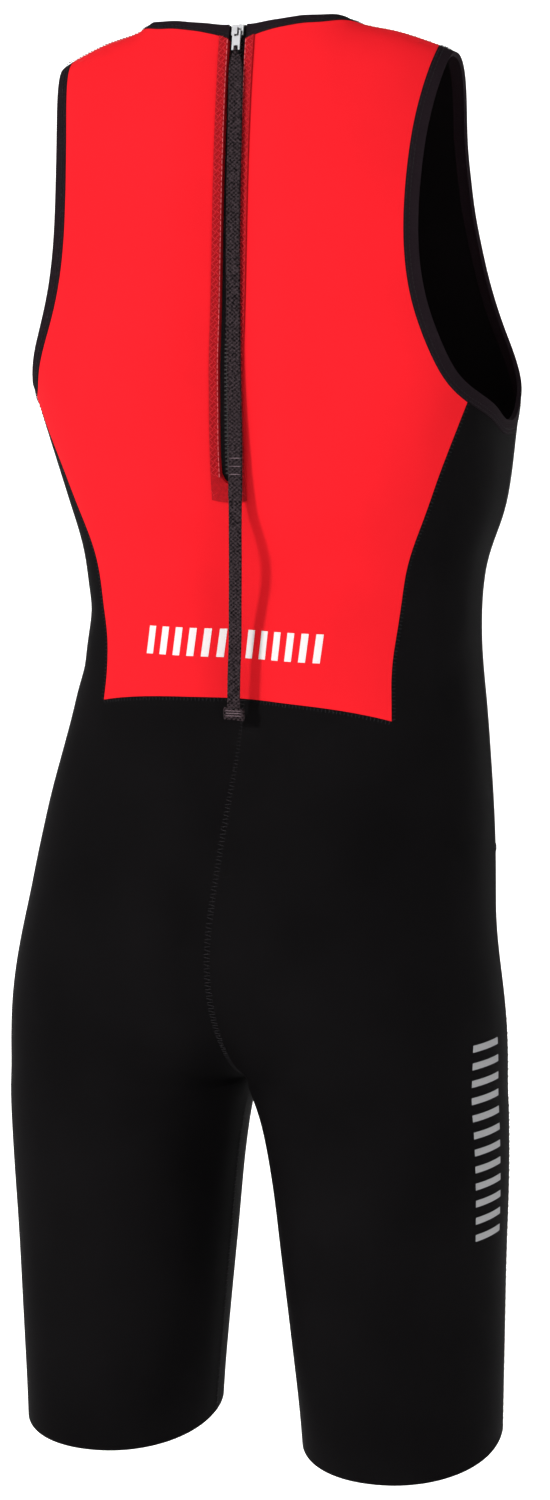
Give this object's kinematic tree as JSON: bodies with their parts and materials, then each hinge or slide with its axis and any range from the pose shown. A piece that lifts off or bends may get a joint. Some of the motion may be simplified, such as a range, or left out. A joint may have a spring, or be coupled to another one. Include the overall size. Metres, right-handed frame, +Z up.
{
  "type": "shorty wetsuit",
  "caption": "Sleeveless shorty wetsuit with thigh-length legs, a coloured back panel and a back zip with a long pull leash, in its worn shape.",
  "frame": {"origin": "between the shoulders, in the middle of the neck opening at the height where the shoulder meets the neck, where the wearer carries the suit", "axes": "+X to the wearer's left, +Y to the back, +Z up; the front faces -Y"},
  "size_m": [0.3394, 0.2318, 0.9315],
  "materials": {
    "red_neoprene": "matt jersey-faced red neoprene",
    "black_neoprene": "matt black neoprene",
    "front_neoprene": "matt black neoprene",
    "binding": "dark woven binding",
    "zip_strip": "dark red tape under zigzag stitching",
    "zip_tape": "black woven tape",
    "zip_teeth": "black moulded teeth",
    "zip_metal": "bright plated metal",
    "webbing": "black woven webbing"
  },
  "bodies": {
    "garment": {"back_panel": "red_neoprene", "rear_left": "black_neoprene", "rear_right": "black_neoprene", "front_panel": "front_neoprene", "front_leg_left": "front_neoprene", "front_leg_right": "front_neoprene", "neck_binding": "binding", "armhole_binding_left": "binding", "armhole_binding_right": "binding", "zip_strip": "zip_strip", "zip_tape": "zip_tape", "zip_chain": "zip_teeth", "slider": "zip_metal"},
    "pull": {"pull_tab": "zip_metal", "leash": "webbing", "leash_end": "webbing"}
  },
  "joints": [
    {"name": "tab_hinge", "type": "hinge", "parent": "garment", "child": "pull", "pos_m": [0, 0.03918, -0.00698], "axis": [1, 0, 0], "range_deg": [0, 150]}
  ]
}
